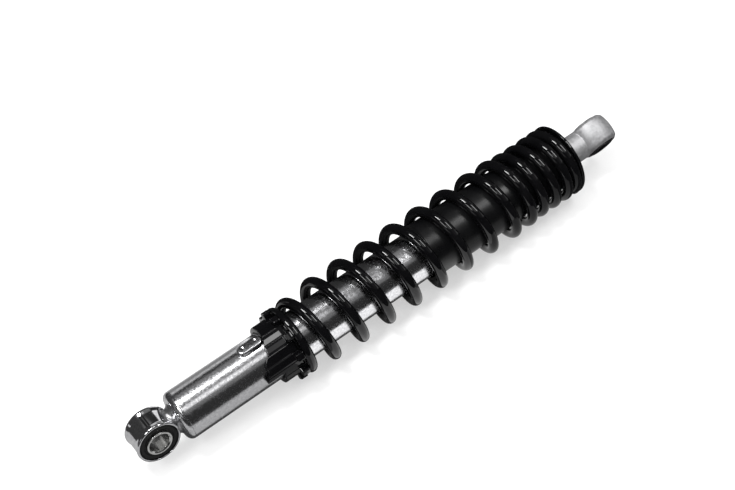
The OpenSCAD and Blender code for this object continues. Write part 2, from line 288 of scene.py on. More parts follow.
class Finish:
    """Procedural material built round one Principled shader, with patterns fixed to the piece's own place."""

    def __init__(self, name, metallic, **constants):
        self.material = bpy.data.materials.new(name)
        self.material.use_nodes = True
        self.tree = self.material.node_tree
        self.shader = self.tree.nodes["Principled BSDF"]
        self.place = self.tree.nodes.new("ShaderNodeTexCoord").outputs["Object"]
        self.shader.inputs["Metallic"].default_value = metallic
        for socket, value in constants.items():
            self.shader.inputs[socket.replace("_", " ")].default_value = value

    def noise(self, per_metre, detail):
        """Cloudy value from 0 to 1, with so many features to the metre."""
        texture = self.tree.nodes.new("ShaderNodeTexNoise")
        texture.inputs["Scale"].default_value = per_metre
        texture.inputs["Detail"].default_value = detail
        self.tree.links.new(self.place, texture.inputs["Vector"])
        return texture.outputs[0]

    def spread(self, value, low, high):
        """The middle range of a cloudy value, spread over low to high."""
        start = 0.3
        stop = 0.7
        node = self.tree.nodes.new("ShaderNodeMapRange")
        node.inputs["From Min"].default_value = start
        node.inputs["From Max"].default_value = stop
        node.inputs["To Min"].default_value = low
        node.inputs["To Max"].default_value = high
        self.tree.links.new(value, node.inputs["Value"])
        return node.outputs["Result"]

    def colour(self, value, dark, light):
        """Base colour between two colours."""
        mix = self.tree.nodes.new("ShaderNodeMix")
        mix.data_type = "RGBA"
        first, second = (socket for socket in mix.inputs if socket.type == "RGBA")
        first.default_value = (*dark, 1.0)
        second.default_value = (*light, 1.0)
        self.tree.links.new(value, mix.inputs["Factor"])
        result = next(s for s in mix.outputs if s.type == "RGBA")
        self.tree.links.new(result, self.shader.inputs["Base Color"])

    def roughness(self, value):
        """Roughness that changes over the surface."""
        self.tree.links.new(value, self.shader.inputs["Roughness"])

    def relief(self, value, depth):
        """Surface relief of that depth in metres, on top of any relief already there."""
        bump = self.tree.nodes.new("ShaderNodeBump")
        bump.inputs["Distance"].default_value = depth
        self.tree.links.new(value, bump.inputs["Height"])
        normal = self.shader.inputs["Normal"]
        if normal.is_linked:
            self.tree.links.new(normal.links[0].from_socket, bump.inputs["Normal"])
        self.tree.links.new(bump.outputs["Normal"], normal)


def chrome(name, hazy, clear):
    """Chrome plate over wavy polished steel, with a roughness that runs from hazy to clear."""
    finish = Finish(name, metallic=1.0)
    haze = finish.noise(700, detail=4.0)
    finish.colour(finish.spread(haze, 0, 1), (0.56, 0.56, 0.58), (0.78, 0.78, 0.79))
    finish.roughness(finish.spread(haze, hazy, clear))
    finish.relief(finish.noise(110, detail=2.0), 0.000018)
    finish.relief(finish.noise(1100, detail=2.0), 0.000002)
    return finish.material


def weld_chrome():
    """The same plate over a welded joint: duller, with the bead's small ripples showing through."""
    finish = Finish("chrome_over_weld", metallic=1.0)
    haze = finish.noise(900, detail=4.0)
    finish.colour(finish.spread(haze, 0, 1), (0.26, 0.26, 0.27), (0.50, 0.50, 0.51))
    finish.roughness(finish.spread(haze, 0.46, 0.28))
    finish.relief(finish.noise(420, detail=2.0), 0.00006)
    return finish.material


def gloss_black():
    """Thick black powder paint with orange peel, on the spring, the collar and the seats."""
    coat = {"Coat_Weight": 1.0, "Coat_IOR": 1.4, "Coat_Roughness": 0.03}
    finish = Finish("gloss_black_paint", metallic=0.0, Specular_IOR_Level=0.0, **coat)
    cloud = finish.noise(90, detail=4.0)
    finish.colour(finish.spread(cloud, 0, 1), (0.0015, 0.0015, 0.0018), (0.003, 0.003, 0.0034))
    finish.roughness(finish.spread(cloud, 0.30, 0.45))
    finish.relief(finish.noise(420, detail=2.0), 0.000007)
    return finish.material


def black_plastic():
    """Satin moulded plastic with a fine eroded grain."""
    finish = Finish("satin_black_plastic", metallic=0.0, Specular_IOR_Level=0.35)
    cloud = finish.noise(50, detail=4.0)
    finish.colour(finish.spread(cloud, 0, 1), (0.002, 0.002, 0.0023), (0.004, 0.004, 0.0045))
    finish.roughness(finish.spread(cloud, 0.26, 0.36))
    finish.relief(finish.noise(1700, detail=2.0), 0.000008)
    return finish.material


def cast_aluminium():
    """Tumbled die-cast aluminium: bright, satin, and slightly uneven."""
    finish = Finish("cast_aluminium", metallic=0.85)
    cloud = finish.noise(520, detail=6.0)
    finish.colour(finish.spread(cloud, 0, 1), (0.42, 0.42, 0.43), (0.60, 0.60, 0.61))
    finish.roughness(finish.spread(cloud, 0.50, 0.64))
    finish.relief(finish.noise(180, detail=3.0), 0.00004)
    finish.relief(finish.noise(1300, detail=3.0), 0.000018)
    return finish.material


def bush_rubber():
    """Black moulded rubber, dull and finely pitted."""
    finish = Finish("bush_rubber", metallic=0.0, Specular_IOR_Level=0.25)
    cloud = finish.noise(220, detail=5.0)
    finish.colour(finish.spread(cloud, 0, 1), (0.003, 0.003, 0.003), (0.007, 0.007, 0.007))
    finish.roughness(finish.spread(cloud, 0.42, 0.62))
    finish.relief(finish.noise(1800, detail=3.0), 0.00001)
    return finish.material


def zinc_steel():
    """Bright zinc plate with a clouded shine."""
    finish = Finish("zinc_plated_steel", metallic=1.0)
    cloud = finish.noise(300, detail=5.0)
    finish.colour(finish.spread(cloud, 0, 1), (0.56, 0.56, 0.55), (0.72, 0.72, 0.71))
    finish.roughness(finish.spread(cloud, 0.16, 0.30))
    finish.relief(finish.noise(1400, detail=3.0), 0.000005)
    return finish.material


def dark_steel():
    """Oiled dark oxide on steel."""
    finish = Finish("dark_oxide_steel", metallic=1.0)
    cloud = finish.noise(260, detail=5.0)
    finish.colour(finish.spread(cloud, 0, 1), (0.07, 0.07, 0.075), (0.13, 0.13, 0.135))
    finish.roughness(finish.spread(cloud, 0.28, 0.42))
    finish.relief(finish.noise(1400, detail=3.0), 0.000006)
    return finish.material


def bearing_bronze():
    """Sintered bronze with an open grain."""
    finish = Finish("bearing_bronze", metallic=1.0)
    grain = finish.noise(1200, detail=4.0)
    finish.colour(finish.spread(grain, 0, 1), (0.42, 0.28, 0.14), (0.60, 0.42, 0.22))
    finish.roughness(finish.spread(grain, 0.35, 0.50))
    finish.relief(grain, 0.00001)
    return finish.material


FINISHES = {
    "chrome": chrome("chrome_plate", hazy=0.29, clear=0.115),
    "gloss_black": gloss_black(),
    "black_plastic": black_plastic(),
    "cast_aluminium": cast_aluminium(),
    "bush_rubber": bush_rubber(),
    "zinc_steel": zinc_steel(),
    "dark_steel": dark_steel(),
    "bearing_bronze": bearing_bronze(),
}


def finish_cad_nodes():
    """Gives every CAD node the finish of its material slot."""
    for part in frame["record"]["subparts"]:
        for held in frame["nodes"][part["node"]].material_slots:
            held.material = FINISHES[part["material_slot"]]


# Lower end

def lower_eye():
    """Chromed ring, waisted between two rounded rims, and polished brighter than the tube."""
    bore_round = 0.3
    rim_round = 0.9
    brow_round = 0.5
    waist_round = 2.0
    waist_run = 2.0
    brow = EYE_HALF - RIM_W
    corners = [
        (BUSH_R, -EYE_HALF, bore_round), (EYE_R, -EYE_HALF, rim_round), (EYE_R, -brow, brow_round),
        (EYE_R - WAIST_DEPTH, waist_run - brow, waist_round),
    ]
    eye = lathe("lower_eye", rounded(mirrored(corners)), ALONG_Y, "chrome", "damper", "lower_eye")
    eye.data.materials[0] = chrome("polished_chrome", hazy=0.14, clear=0.06)


def eye_neck():
    """Short neck from the ring's wall to the bottom cap, with a weld bead that flares towards the cap."""
    neck_r = 8.3
    wall_r = (BUSH_R + EYE_R - WAIST_DEPTH) / 2
    ring_bead = 0.5
    ring_share = 0.3
    cap_bead = 2.4
    cap_share = 0.75
    ripple = 0.05
    ripples = 26
    wander = 0.7
    wander_waves = 3
    sunk = 0.4
    steps = 24
    along = [(1.0, k / steps) for k in range(steps + 1)]
    start_face = [(0.0, 0.0), (0.5, 0.0)]
    end_face = [(0.5, 1.0), (0.0, 1.0)]
    rows = []
    for size, u in start_face + along + end_face:
        low_bead = ring_bead * max(0.0, 1 - u / ring_share) ** 2
        high_share = max(0.0, 1 - (1 - u) / cap_share) ** 2
        row = []
        for j in range(COLUMNS):
            a = 2 * math.pi * j / COLUMNS
            wave = ripple * math.sin(ripples * a + wander * math.sin(wander_waves * a))
            r = size * (neck_r + low_bead + high_share * (cap_bead + wave))
            start = math.sqrt(wall_r ** 2 - (r * math.sin(a)) ** 2)
            x = start + (CAP_X + sunk - start) * u
            row.append(Vector((x, r * math.cos(a), r * math.sin(a))))
        rows.append(row)
    neck = grid_piece("lower_eye_neck", rows, "chrome", "damper")
    neck.data.materials[0] = weld_chrome()


def bush(name, radius, half, turn, body):
    """Rubber bush with a raised ring on each face, between the sleeve and the eye."""
    dish = 0.5
    ring_shares = (0.35, 0.80)
    inner_run = 0.4
    outer_run = 0.3
    ring_round = 0.2
    foot_round = 0.15
    bore = SLEEVE_R + FIT_GAP
    face = half - BUSH_RECESS
    inner, outer = (SLEEVE_R + share * (radius - SLEEVE_R) for share in ring_shares)
    corners = [
        (bore, dish - face, 0.0), (inner - inner_run, dish - face, ring_round), (inner, -face, ring_round),
        (outer, -face, ring_round), (outer + outer_run, dish - face, foot_round), (radius, dish - face, 0.0),
    ]
    lathe(name, rounded(mirrored(corners)), turn, "bush_rubber", body, name)


def sleeve(name, half, turn, slot, body):
    """Steel sleeve with a chamfered bolt hole and a softened outer edge."""
    hole_round = 0.15
    mouth_round = 0.12
    rim_round = 0.35
    corners = [
        (BOLT_R, SLEEVE_CHAMFER - half, hole_round), (BOLT_R + SLEEVE_CHAMFER, -half, mouth_round),
        (SLEEVE_R, -half, rim_round),
    ]
    lathe(name, rounded(mirrored(corners)), turn, slot, body, name)


def bottom_cap():
    """Rounded bottom of the tube, pressed into it and meeting it in a fine seam."""
    seam = 0.3
    steps = 12
    spigot_r = TUBE_R - TUBE_WALL - FIT_GAP
    floor_x = CAP_X + CAP_SPIGOT
    path = [Vector((0, CAP_X))]
    path += arc((TUBE_R - CAP_ROUND, CAP_X + CAP_ROUND), CAP_ROUND, -math.pi / 2, -seam / CAP_ROUND, steps)
    path += [Vector(p) for p in (
        (TUBE_R - seam, TUBE_X), (spigot_r, TUBE_X), (spigot_r, TUBE_X + CAP_SPIGOT),
        (CAP_SPIGOT_BORE, TUBE_X + CAP_SPIGOT), (CAP_SPIGOT_BORE, floor_x), (0, floor_x),
    )]
    lathe("bottom_cap", path, ALONG_X, "chrome", "damper", "bottom_cap")


def outer_tube():
    """Chromed tube with a softened lower end and a rolled lip at the top."""
    seam_round = 0.45
    shoulder_round = 1.2
    hole_round = 0.4
    bore = TUBE_R - TUBE_WALL
    path = rounded([
        (bore, TUBE_X, 0.0), (TUBE_R, TUBE_X, seam_round), (TUBE_R, TUBE_END, shoulder_round),
        (LIP_R, TUBE_END, hole_round), (LIP_R, TUBE_END - LIP_T, 0.0), (bore, TUBE_END - LIP_T, 0.0),
    ])
    lathe("outer_tube", path, ALONG_X, "chrome", "damper", "outer_tube")


def stop_pad(side):
    """Rings of points of one welded pad, from its foot in the tube over its edge to its middle line."""
    edge = 0.9
    edge_steps = 6
    foot = 0.35
    weld = 0.1
    sunk = 0.6
    dimple_r = 1.25
    dimple_depth = 0.5
    steps = 24
    top_steps = 10
    half = STOP_W / 2
    ends = (STOP_X + half, STOP_END - half)
    low, high = ends
    shares = [k / steps for k in range(steps)]
    outline = [(high + (low - high) * u, 90) for u in shares]
    outline += [(low, 90 + 180 * u) for u in shares]
    outline += [(low + (high - low) * u, 270) for u in shares]
    outline += [(high, 270 + 180 * u) for u in shares]
    profile = [(half, TUBE_R - sunk), (0.0, TUBE_R - sunk), (-foot, TUBE_R - weld), (-weld, TUBE_R + foot)]
    profile += arc((edge, STOP_R - edge), edge, math.pi, math.pi / 2, edge_steps)
    profile += [(edge + (half - edge) * k / top_steps, STOP_R) for k in range(1, top_steps + 1)]
    rows = []
    for inset, r in profile:
        row = []
        for x, turn in outline:
            px = x + (half - inset) * math.cos(math.radians(turn))
            py = (half - inset) * math.sin(math.radians(turn))
            near = min(math.hypot(px - end, py) for end in ends) / dimple_r
            dent = dimple_depth * max(0.0, 1 - near ** 2) if r == STOP_R else 0.0
            row.append(Vector((px, py * side, side * math.sqrt((r - dent) ** 2 - py ** 2))))
        rows.append(row)
    return rows


def cam_stops():
    """The two pads, on opposite sides of the tube, in one piece of two solids."""
    points = []
    faces = []
    for side in (1, -1):
        rows = stop_pad(side)
        first = len(points)
        faces += [tuple(first + i for i in face) for face in band_faces(len(rows), len(rows[0]), False)]
        points += [p for row in rows for p in row]
    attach(new_piece("cam_stops", points, faces, "chrome", ["cam_stops"]), "damper")


# Preload collar and spring

STOP_ANGLE = 90.0
SETTING_ANGLE = 36.0
SETTING_RISE = 5.5
SETTING_PLACES = (SETTING_ANGLE, 2 * SETTING_ANGLE)
CAM_LAND_GAP = 0.4
CAM_LINE_GAP = 0.9
CAM_OVERRUN = 15.0
CAM_LAND = STOP_END + CAM_LAND_GAP
CAM_LINE = STOP_END + CAM_LINE_GAP
CAM_WALL = SETTING_PLACES[-1] + CAM_OVERRUN
CAM_DIMPLE = 1.6
CAM_DIMPLE_W = 12.0


def cam_edge(angle):
    """Station of the collar's stepped edge at an angle in degrees from +Y towards +Z."""
    past = (angle - STOP_ANGLE - CAM_WALL) % 180 - (180 - CAM_WALL)
    if past <= 0:
        return CAM_LAND
    dips = sum(max(0.0, 1 - ((past - place) / CAM_DIMPLE_W) ** 2) for place in SETTING_PLACES)
    line = CAM_LINE - SETTING_RISE / SETTING_ANGLE * past
    return max(COLLAR_LOW, min(CAM_LAND, line) + CAM_DIMPLE * dips)


def lug_off(angle):
    """Degrees from the middle of the nearest spanner lug."""
    pitch = 360 / LUG_COUNT
    return abs((angle - LUG_PHASE + pitch / 2) % pitch - pitch / 2)


def facet_r(angle):
    """Radius of the collar's side: narrow flats under the lugs, wide ones between, and fine grooves."""
    middle = 180 / LUG_COUNT
    narrow = NARROW_FLAT / 2
    off = lug_off(angle)
    half, lean = (narrow, off) if off < narrow else (middle - narrow, middle - off)
    flat = COLLAR_R * math.cos(math.radians(half)) / math.cos(math.radians(lean))
    groove = max(0.0, 1 - ((off - narrow - GROOVE_OFF) / GROOVE_HALF) ** 2)
    return min(flat + FLAT_CROWN * (COLLAR_R - flat), COLLAR_R - CROWN_ROOM) - GROOVE_DEPTH * groove


def lug_r(angle):
    """Radius of a lug's end and of its side, with a rounded corner between them."""
    off = math.radians(lug_off(angle))
    soft = 0.7
    v = LUG_W / 2 - soft
    u = math.sqrt((LUG_R - soft) ** 2 - v ** 2)
    if off < math.atan2(v, u):
        return LUG_R
    if off > math.atan2(LUG_W / 2, u):
        return LUG_W / 2 / math.sin(off)
    aside = u * math.sin(off) - v * math.cos(off)
    return u * math.cos(off) + v * math.sin(off) + math.sqrt(soft ** 2 - aside ** 2)


def collar_angles():
    """Columns round the collar, closer together at the lugs' sides and at the cam's walls."""
    step = 0.75
    side_start = 4.5
    side_step = 0.25
    side_count = 15
    wall_foot = 0.01
    wall_top = 0.2
    marks = {step * k for k in range(round(360 / step))}
    sides = [side_start + side_step * k for k in range(side_count)]
    for i in range(LUG_COUNT):
        lug = LUG_PHASE + i * 360 / LUG_COUNT
        marks |= {(lug + off) % 360 for off in sides} | {(lug - off) % 360 for off in sides}
    for wall in (STOP_ANGLE + CAM_WALL, STOP_ANGLE + CAM_WALL + 180):
        marks |= {(wall - wall_foot) % 360, (wall + wall_top) % 360}
    return sorted(marks)


def collar_section(angle):
    """Points (station, radius) round the collar's wall at one angle, out over a lug where there is one."""
    edge = cam_edge(angle)
    side = facet_r(angle)
    tip = max(side, lug_r(angle))
    bore = COLLAR_BORE_R
    chamfer = 0.3
    soft = 0.45
    bevel = soft * (1 - math.sqrt(0.5))
    fillet_run = 0.5
    fillet_bend = 0.3
    lean = 0.01
    root_step = 0.1
    fillet = min(fillet_run, tip - side)
    has_lug = tip > LUG_ROOT + soft
    top = LUG_END if has_lug else COLLAR_TOP
    root = LUG_ROOT if has_lug else tip - soft - root_step
    return [
        (edge + chamfer, bore), (edge, bore + chamfer),
        (edge, side - soft), (edge + bevel, side - bevel), (edge + soft, side), (edge + soft + BRACE, side),
        (LUG_X - fillet_run - BRACE, side), (LUG_X - fillet_run, side),
        (LUG_X - fillet_bend * fillet_run, side + fillet_bend * fillet), (LUG_X, side + fillet),
        (LUG_X + lean, max(side, tip - soft)), (LUG_X + bevel, max(side, tip - bevel)), (LUG_X + soft, tip),
        (top - soft, tip), (top - bevel, tip - bevel), (top, tip - soft), (top, root),
        (COLLAR_TOP, root - root_step), (COLLAR_TOP, bore + chamfer), (COLLAR_TOP - chamfer, bore),
    ]


def preload_collar():
    """Black collar: stepped lower edge, flats along its side and spanner lugs round its top."""
    columns = []
    for angle in collar_angles():
        a = math.radians(angle)
        columns.append([Vector((x, r * math.cos(a), r * math.sin(a))) for x, r in collar_section(angle)])
    rows = [list(row) for row in zip(*columns)]
    grid_piece("preload_collar", rows, "gloss_black", "collar", "preload_collar")


def spring_seat_ring():
    """Thin ring between the collar and the spring."""
    bore_round = 0.2
    rim_round = 0.5
    path = rounded([
        (COLLAR_BORE_R, RING_X, bore_round), (RING_R, RING_X, rim_round),
        (RING_R, RING_TOP, rim_round), (COLLAR_BORE_R, RING_TOP, bore_round),
    ])
    lathe("spring_seat_ring", path, ALONG_X, "gloss_black", "spring_seat", "spring_seat_ring")


WIRE_D = 6.8
COIL_R = 22.6
COIL_R_FIRST = 19.7
COIL_R_TOP = 21.2
WIRE_START_X = 96.3
WIRE_START_ANGLE = 4.5
SPRING_TURNS = 13.6
PITCHES = (2.5, 20.3, 10.4, 7.35)
PITCH_RAMPS = ((0.27, 1.22), (7.85, 9.62), (12.1, 12.6))
GROW_FIRST = (0.4, 2.3)
SHRINK_TOP = (8.6, 10.6)
DEAD_TURNS = 1.0
JOIN_TURN = 2.85
RINGS_PER_TURN = 72
WIRE_SIDES = 24


def ramp(n, span):
    """Turns gained on a ramp: none before the span, steadily more over it, one for one after it."""
    low, high = span
    if n < low:
        return 0.0
    return (n - low) ** 2 / (2 * (high - low)) if n < high else n - (low + high) / 2


def ease(n, span):
    """Smooth step from 0 to 1 over a span of turns."""
    t = min(1.0, max(0.0, (n - span[0]) / (span[1] - span[0])))
    return t * t * (3 - 2 * t)


def wire_x(n):
    """Station of the wire's centre after n turns."""
    changes = zip(PITCHES, PITCHES[1:], PITCH_RAMPS)
    gained = sum((after - before) * ramp(n, span) for before, after, span in changes)
    return WIRE_START_X + PITCHES[0] * n + gained


def wire_r(n):
    """Radius of the coil after n turns."""
    growth = (COIL_R - COIL_R_FIRST) * ease(n, GROW_FIRST)
    return COIL_R_FIRST + growth + (COIL_R_TOP - COIL_R) * ease(n, SHRINK_TOP)


def wire_ring(n):
    """Points round the wire after n turns, cut flat where the spring's ends are ground."""
    turn = math.radians(WIRE_START_ANGLE + 360 * n)
    ring = []
    for k in range(WIRE_SIDES):
        a = 2 * math.pi * k / WIRE_SIDES
        r = wire_r(n) + WIRE_D / 2 * math.cos(a)
        x = min(SPRING_TOP, max(SPRING_X, wire_x(n) + WIRE_D / 2 * math.sin(a)))
        ring.append(Vector((x, r * math.cos(turn), r * math.sin(turn))))
    return ring


def free_gap(n):
    """Room between the coils that the wire has gathered after n turns."""
    return wire_x(n) - WIRE_D * n


def seat_share(n):
    """How far the wire near the collar has left the spring seat's motion for the damper's."""
    return ease(n, (DEAD_TURNS, JOIN_TURN))


def stroke_share(n):
    """How far the wire follows the upper seat: each coil closes in step with the room it has."""
    low, high = free_gap(JOIN_TURN), free_gap(SPRING_TURNS)
    return (free_gap(n) - low) / (high - low)


def spring_wire(name, first, last, share):
    """Round wire from one turn to another. Each ring's share of the motion is worked out, but not applied."""
    count = math.ceil((last - first) * RINGS_PER_TURN)
    turns = [first + (last - first) * i / count for i in range(count + 1)]
    points = [p for n in turns for p in wire_ring(n)]
    faces = band_faces(len(turns), WIRE_SIDES, wrap_rows=False)
    faces.append(tuple(range(WIRE_SIDES)))
    faces.append(tuple(range(count * WIRE_SIDES, len(points))))
    piece = new_piece(name, points, faces, "gloss_black", ["coil_spring"])
    start = (wire_x(first) * MM, 0, 0)
    end = (wire_x(last) * MM, 0, 0)
    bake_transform(piece)
    weights = [share(n) for n in turns for _ in range(WIRE_SIDES)]


def coil_spring():
    """The spring in two lengths of wire that meet out of sight under the shock."""
    spring_wire("coil_spring_lower", 0.0, JOIN_TURN, seat_share)
    spring_wire("coil_spring_upper", JOIN_TURN, SPRING_TURNS, stroke_share)


# Upper end

def dust_cover():
    """Moulded cover with a bead round its mouth, narrower inside the tight coils."""
    mouth_round = 0.3
    bead_flat = 2.1
    bead_round = 0.5
    bead_foot_round = 0.4
    step_round = 4.0
    end_round = 0.5
    hole_round = 0.3
    low, high = COVER_STEP
    bore = COVER_R - COVER_WALL
    bore_top = COVER_R_TOP - COVER_WALL
    floor_x = COVER_TOP - COVER_FLOOR
    path = rounded([
        (bore, COVER_X, mouth_round),
        (COVER_BEAD_R, COVER_X, bead_round), (COVER_BEAD_R, COVER_X + bead_flat, bead_foot_round),
        (COVER_R, COVER_X + COVER_BEAD_W, bead_foot_round), (COVER_R, low, step_round),
        (COVER_R_TOP, high, step_round), (COVER_R_TOP, COVER_TOP, end_round),
        (COVER_HOLE_R, COVER_TOP, 0.0), (COVER_HOLE_R, floor_x, hole_round), (bore_top, floor_x, end_round),
        (bore_top, high, step_round), (bore, low, step_round),
    ])
    lathe("dust_cover", path, ALONG_X, "black_plastic", "upper_seat", "dust_cover")


def upper_spring_seat():
    """Plate on which the spring's last coil presses, with a rolled rim."""
    under_round = 0.6
    rim_round = 0.9
    hole_round = 0.3
    path = rounded([
        (ROD_HOLE_R, SEAT_X, 0.0), (SEAT_R, SEAT_X, under_round),
        (SEAT_R, SEAT_TOP, rim_round), (ROD_HOLE_R, SEAT_TOP, hole_round),
    ])
    lathe("upper_spring_seat", path, ALONG_X, "gloss_black", "upper_seat", "upper_spring_seat")


def upper_eye_r(z):
    """Radius of the eye at a height along its bolt: crowned, then bevelled, with a rounded shoulder."""
    soft = 0.8
    shoulder_r = UPPER_EYE_R - UPPER_CROWN
    slope = (shoulder_r - UPPER_RIM_R) / (UPPER_EYE_HALF - UPPER_CROWN_HALF)
    crown = UPPER_EYE_R - UPPER_CROWN * (z / UPPER_CROWN_HALF) ** 2
    bevel = UPPER_RIM_R + slope * (UPPER_EYE_HALF - abs(z))
    return min(crown, bevel) - max(0.0, soft - abs(crown - bevel)) ** 2 / (4 * soft)


def upper_eye_outline(z):
    """Outline of the eye and its oval neck at a height along the bolt, with a fillet where they meet."""
    fillet = 0.9
    fillet_steps = 8
    corner = 0.5
    foot_steps = 6
    run_shares = (0.03, 0.15, 0.3, 0.5, 0.7, 0.85, 0.97)
    eye_steps = 48
    radius = upper_eye_r(z)
    side = NECK_HALF_H * math.sqrt(1 - (z / NECK_HALF_W) ** 2)
    foot = NECK_X - UPPER_EYE.x
    centre_x = -math.sqrt((radius + fillet) ** 2 - (side + fillet) ** 2)
    lean = math.atan2(side + fillet, -centre_x)
    half = [Vector((foot, (corner - side) * k / foot_steps)) for k in range(foot_steps)]
    half += arc((foot + corner, corner - side), corner, math.pi, 1.5 * math.pi, foot_steps)
    run = centre_x - foot - corner
    half += [Vector((foot + corner + run * u, -side)) for u in run_shares]
    half += arc((centre_x, -side - fillet), fillet, math.pi / 2, lean, fillet_steps)
    half += arc((0, 0), radius, math.pi + lean, 2 * math.pi, eye_steps)[1:]
    return half + [Vector((p.x, -p.y)) for p in reversed(half[1:-1])]


def upper_eye():
    """Cast eye, crowned and bevelled, on an oval neck, with a chamfered hole for the bush."""
    chamfer = 0.25
    steps = 32
    half = UPPER_EYE_HALF
    reach = math.asin(half / NECK_HALF_W)
    heights = [NECK_HALF_W * math.sin(reach * k / steps) for k in range(-steps, steps + 1)]
    face = upper_eye_outline(half)
    layers = [(z, upper_eye_outline(z)) for z in heights]
    mouth = [(half, UPPER_BUSH_R + chamfer), (half - chamfer, UPPER_BUSH_R)]
    layers += [(z, [p.normalized() * r for p in face]) for z, r in mouth]
    layers += [(-z, [p.normalized() * r for p in face]) for z, r in reversed(mouth)]
    rows = [[ALONG_UPPER_BOLT @ Vector((p.x, p.y, z)) for p in outline] for z, outline in layers]
    grid_piece("upper_eye", rows, "cast_aluminium", "rod", "upper_eye")


def build_pieces():
    """Every dressed piece of the shock, from the lower eye to the upper eye."""
    lower_eye()
    eye_neck()
    bush("lower_bush", BUSH_R, EYE_HALF, ALONG_Y, "damper")
    sleeve("lower_sleeve", SLEEVE_HALF, ALONG_Y, "zinc_steel", "lower_bolt_sleeve")
    bottom_cap()
    outer_tube()
    cam_stops()
    preload_collar()
    spring_seat_ring()
    coil_spring()
    dust_cover()
    upper_spring_seat()
    upper_eye()
    bush("upper_bush", UPPER_BUSH_R, UPPER_EYE_HALF, ALONG_UPPER_BOLT, "rod")
    upper_half = UPPER_EYE_HALF + SLEEVE_PROUD
    sleeve("upper_sleeve", upper_half, ALONG_UPPER_BOLT, "dark_steel", "upper_bolt_sleeve")


# Stage, light and camera

VIEW_AZIMUTH = -25.50
VIEW_ELEVATION = 44.87
VIEW_ROLL = -14.96
VIEW_AIM = Vector((0.17661, 0.02981, 0.0))
VIEW_DISTANCE = 0.80583
VIEW_LENS = 62.79
SENSOR_WIDTH = 36.0
CLIP_START = 0.01
MATT_ROUGHNESS = 0.9
FLOOR_COLOUR = (0.95, 0.95, 0.95, 1.0)
FLOOR_REACH = 6.0
FLOOR_LIFT = 0.5
FILL_LEVEL = 0.8
SHEET_COLOUR = (0.31, 0.31, 0.31, 1.0)
SHEET_HEIGHT = 0.0002
LAMP_DISTANCE = 1.0
# Each lamp: lowest and highest angle from +Y over +Z in degrees, span in X, brightness
LAMPS = {
    "lamp_back": (80.5, 90, (0.10, 0.262), 2.2),
    "lamp_collar": (79, 90, (0.262, 0.308), 9.0),
    "lamp_coil": (74, 92, (-0.16, 0.06), 28.0),
    "lamp_front": (110, 126, (-0.06, 0.33), 1.2),
    "lamp_right": (98, 122, (0.645, 0.90), 13.0),
    "lamp_left": (92, 122, (-0.62, -0.34), 8.0),
    "lamp_low": (148, 156, (-0.45, -0.35), 5.0),
}
ROUND_LAMPS = ("lamp_coil", "lamp_left")
CARD_ENDS = (-0.55, 0.95)
CARD_SPLIT = 0.098
BACK_SPLIT = 0.086
CARD_SIDE = 0.15
FRONT_SIDE = 0.097
BACK_SIDE = 0.056
LEFT_LEVEL = 0.14
# Painted shadow: level of the dark floor cards that stand for the shock's shadow in reflections
PAINTED_SHADOW_LEVEL = 0.06
COILS_LEVEL = 0.5
# Each card on the floor: span in X, span in Y, brightness. The darkest ones are painted shadow: they stand
# for the shock's shadow on the floor under and beside it, as polished surfaces reflect it
FLOOR_CARDS = {
    "card_under": ((-0.02, 0.20), (-0.018, 0.018), PAINTED_SHADOW_LEVEL),
    "card_under_coils": ((0.22, 0.30), (-FRONT_SIDE, 0.04), COILS_LEVEL),
    "card_under_right": ((0.30, 0.60), (-FRONT_SIDE, 0.04), PAINTED_SHADOW_LEVEL),
    "card_behind": ((CARD_SPLIT, 0.42), (0.012, BACK_SIDE), PAINTED_SHADOW_LEVEL),
}
# Each strip of light or shade in the lower eye: span in X, brightness
EYE_STREAKS = {
    "card_streak_0": ((-0.080, -0.041), 0.16),
    "card_streak_1": ((-0.041, -0.009), 0.012),
    "card_streak_2": ((-0.009, 0.008), 0.10),
    "card_streak_3": ((0.008, 0.035), 0.012),
}
STREAK_SIDE = CARD_SIDE + 0.001
STREAK_ANGLES = (49, 60)
END_CARD_TOP = 0.35
CEILING_HALF = 2.6
CEILING_Z = 1.35
CEILING_SPLIT = 0.17
CEILING_LEVELS = (0.05, 0.18)
DARK_LEVEL = 0.03
EYE_SPLIT = 0.02
EYE_SPAN = (CARD_ENDS[0], EYE_SPLIT)
TUBE_SPAN = (EYE_SPLIT, CARD_SPLIT)
DARK_SPAN = (EYE_SPLIT, 0.20)
RIGHT_SPAN = (BACK_SPLIT, CARD_ENDS[1])
# Each upright card: its Y, span in X, lowest and highest angle over the axis in degrees, brightness
CARDS = {
    "card_front": (-FRONT_SIDE, CARD_ENDS, -15, 36, DARK_LEVEL),
    "card_back_left": (CARD_SIDE, EYE_SPAN, -10, 50, 0.05),
    "card_back_grey": (CARD_SIDE, TUBE_SPAN, -10, 17, 0.27),
    "card_back_pale": (CARD_SIDE, TUBE_SPAN, 17, 32, 0.64),
    "card_back_dark": (CARD_SIDE, DARK_SPAN, 32, 50, DARK_LEVEL),
    "card_back_right": (BACK_SIDE, RIGHT_SPAN, -25, 66, DARK_LEVEL),
}


def add_camera():
    """Camera at the photograph's viewing angle."""
    data = bpy.data.cameras.new("camera")
    data.sensor_width = SENSOR_WIDTH
    data.lens = VIEW_LENS
    data.clip_start = CLIP_START
    camera = bpy.data.objects.new("camera", data)
    azimuth = math.radians(VIEW_AZIMUTH)
    elevation = math.radians(VIEW_ELEVATION)
    level = math.cos(elevation)
    back = Vector((math.sin(azimuth) * level, -math.cos(azimuth) * level, math.sin(elevation)))
    camera.location = VIEW_AIM + back * VIEW_DISTANCE
    camera.rotation_mode = "QUATERNION"
    roll = Quaternion((0, 0, 1), math.radians(VIEW_ROLL))
    camera.rotation_quaternion = (-back).to_track_quat("-Z", "Y") @ roll
    bpy.context.scene.collection.objects.link(camera)
    bpy.context.scene.camera = camera


